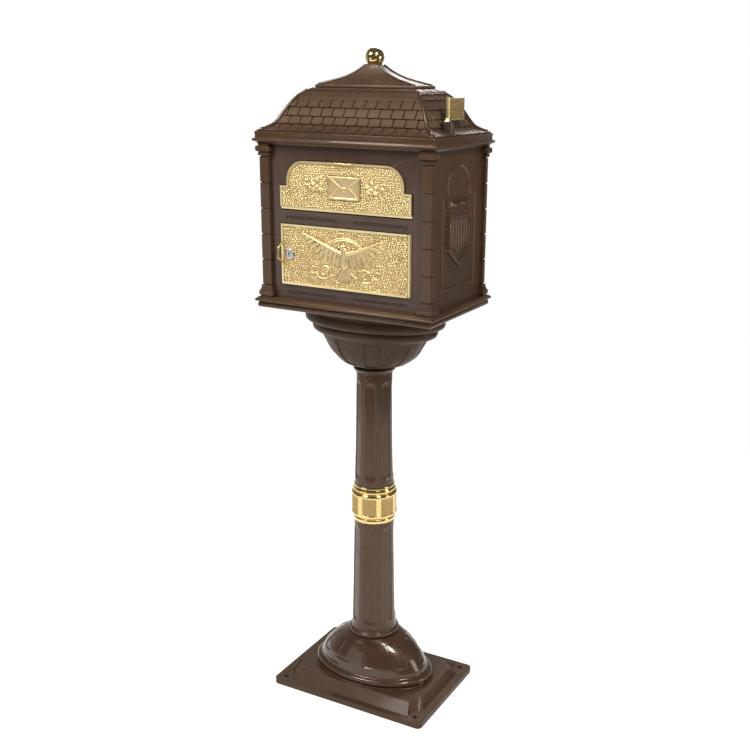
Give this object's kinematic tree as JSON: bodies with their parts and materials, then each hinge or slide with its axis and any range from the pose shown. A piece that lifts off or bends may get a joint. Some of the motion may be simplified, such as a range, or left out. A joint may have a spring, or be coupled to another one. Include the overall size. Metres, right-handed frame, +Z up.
{
  "type": "pedestal mailbox",
  "caption": "Pedestal mailbox with a hip-roofed cast box, drop-down mail door, locking lower door, swivel flag and a fluted post with a brass band on a bolt-down base.",
  "frame": {"origin": "on the ground at the centre of the base plate's underside, under the post's centre line", "axes": "+Z up along the post; the doors face -Y; +X is the side with the flag"},
  "size_m": [0.44, 0.299, 1.5],
  "materials": {
    "bronze_coat": "satin",
    "dark_coat": "satin",
    "brass": "satin",
    "zinc_steel": "satin",
    "bright_steel": "gloss"
  },
  "bodies": {
    "mailbox": {"base_plate": "bronze_coat", "base_dome": "bronze_coat", "lower_post": "bronze_coat", "post_band": "brass", "band_sleeve": "zinc_steel", "post_spigots": "zinc_steel", "upper_post": "bronze_coat", "tie_rod": "zinc_steel", "tie_nuts": "zinc_steel", "tie_washers": "zinc_steel", "bowl": "bronze_coat", "box_bottom": "bronze_coat", "pilaster_front_left": "bronze_coat", "pilaster_front_right": "bronze_coat", "pilaster_rear_left": "bronze_coat", "pilaster_rear_right": "bronze_coat", "corner_bolts": "zinc_steel", "front_panel": "dark_coat", "rear_panel": "bronze_coat", "left_panel": "bronze_coat", "right_panel": "bronze_coat", "mail_shelf": "zinc_steel", "eave": "bronze_coat", "roof": "bronze_coat", "roof_cap": "bronze_coat", "finial": "brass", "flag_boss": "dark_coat", "flag_screw": "zinc_steel", "mail_door_pins": "bright_steel", "lock_door_pins": "bright_steel"},
    "flag": {"flag": "brass"},
    "mail_door": {"mail_door": "brass", "mail_door_pull": "brass", "mail_emblem": "brass"},
    "lock_door": {"lock_door": "brass", "lock_emblem": "brass", "pull_handle": "brass", "lock_body": "bright_steel", "lock_nut": "bright_steel"},
    "lock_cam": {"lock_plug": "bright_steel", "lock_cam": "bright_steel", "cam_screw": "zinc_steel"}
  },
  "joints": [
    {"name": "mail_door_hinge", "type": "hinge", "parent": "mailbox", "child": "mail_door", "pos_m": [0, -0.1215, 1.1684], "axis": [1, 0, 0], "range_deg": [0, 90]},
    {"name": "lock_door_hinge", "type": "hinge", "parent": "mailbox", "child": "lock_door", "pos_m": [0.155, -0.1215, 1.068], "axis": [0, 0, 1], "range_deg": [0, 100]},
    {"name": "lock_turn", "type": "hinge", "parent": "lock_door", "child": "lock_cam", "pos_m": [-0.138, -0.12, 1.069], "axis": [0, -1, 0], "range_deg": [0, 90]},
    {"name": "flag_swivel", "type": "hinge", "parent": "mailbox", "child": "flag", "pos_m": [0.193, -0.04, 1.355], "axis": [0, 0, 1], "range_deg": [-90, 0]}
  ]
}
